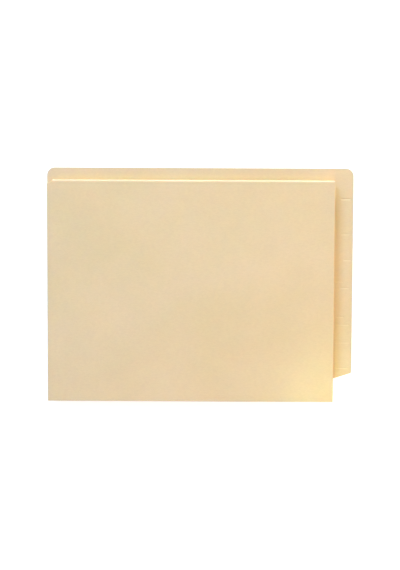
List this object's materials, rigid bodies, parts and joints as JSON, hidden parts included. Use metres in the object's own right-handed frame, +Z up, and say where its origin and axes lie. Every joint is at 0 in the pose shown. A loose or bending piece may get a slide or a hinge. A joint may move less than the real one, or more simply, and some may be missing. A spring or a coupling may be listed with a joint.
{
  "type": "side tab file pocket",
  "caption": "Manila paper file pocket with folded side and bottom gussets, a raised back edge and a full-height tab along one side.",
  "frame": {"origin": "centre of the bounding box in plan, at the underside of the back panel, with the pocket lying on its back", "axes": "+X towards the side tab, +Y towards the open mouth, +Z up out of the front panel"},
  "size_m": [0.3112, 0.2414, 0.0086],
  "materials": {
    "back_stock": "smooth manila stock",
    "pocket_stock": "smooth manila stock",
    "gusset_stock": "smooth manila stock, creased",
    "glue": "dried paste film"
  },
  "bodies": {
    "back": {"back_panel": "back_stock", "tab_ply": "back_stock", "tab_glue": "glue", "left_flap": "gusset_stock", "left_glue": "glue", "right_flap": "gusset_stock", "right_glue": "glue", "bottom_flap": "gusset_stock", "bottom_glue": "glue"},
    "bottom_back_leaf": {"bottom_back_leaf": "gusset_stock"},
    "bottom_front_leaf": {"bottom_front_leaf": "gusset_stock"},
    "front": {"front_panel": "pocket_stock", "hem_glue": "glue"},
    "left_back_leaf": {"left_back_leaf": "gusset_stock"},
    "left_front_leaf": {"left_front_leaf": "gusset_stock"},
    "right_back_leaf": {"right_back_leaf": "gusset_stock"},
    "right_front_leaf": {"right_front_leaf": "gusset_stock"}
  },
  "joints": [
    {"name": "pocket_opening", "type": "hinge", "parent": "back", "child": "bottom_back_leaf", "pos_m": [0, -0.12037, 0.00074], "axis": [1, 0, 0], "range_deg": [-5.34, 54.16]},
    {"name": "bottom_inner_crease", "type": "hinge", "parent": "bottom_back_leaf", "child": "bottom_front_leaf", "pos_m": [0, -0.09847, 0.00454], "axis": [1, 0, 0], "range_deg": [-108.52, 10.88]},
    {"name": "bottom_front_crease", "type": "hinge", "parent": "bottom_front_leaf", "child": "front", "pos_m": [0, -0.12037, 0.00834], "axis": [1, 0, 0], "range_deg": [-5.54, 54.36]},
    {"name": "left_back_crease", "type": "hinge", "parent": "back", "child": "left_back_leaf", "pos_m": [-0.15529, 0, 0.00074], "axis": [0, -1, 0], "range_deg": [-5.54, 54.36]},
    {"name": "left_inner_crease", "type": "hinge", "parent": "left_back_leaf", "child": "left_front_leaf", "pos_m": [-0.1334, 0, 0.00454], "axis": [0, -1, 0], "range_deg": [-108.52, 10.88]},
    {"name": "right_back_crease", "type": "hinge", "parent": "back", "child": "right_back_leaf", "pos_m": [0.13625, 0, 0.00074], "axis": [0, 1, 0], "range_deg": [-5.54, 54.36]},
    {"name": "right_inner_crease", "type": "hinge", "parent": "right_back_leaf", "child": "right_front_leaf", "pos_m": [0.11435, 0, 0.00454], "axis": [0, 1, 0], "range_deg": [-108.52, 10.88]}
  ],
  "couplings": [
    {"joint": "bottom_inner_crease", "follows": "pocket_opening", "ratio": -2},
    {"joint": "bottom_front_crease", "follows": "pocket_opening", "ratio": 1},
    {"joint": "left_back_crease", "follows": "pocket_opening", "ratio": 1},
    {"joint": "left_inner_crease", "follows": "pocket_opening", "ratio": -2},
    {"joint": "right_back_crease", "follows": "pocket_opening", "ratio": 1},
    {"joint": "right_inner_crease", "follows": "pocket_opening", "ratio": -2}
  ]
}
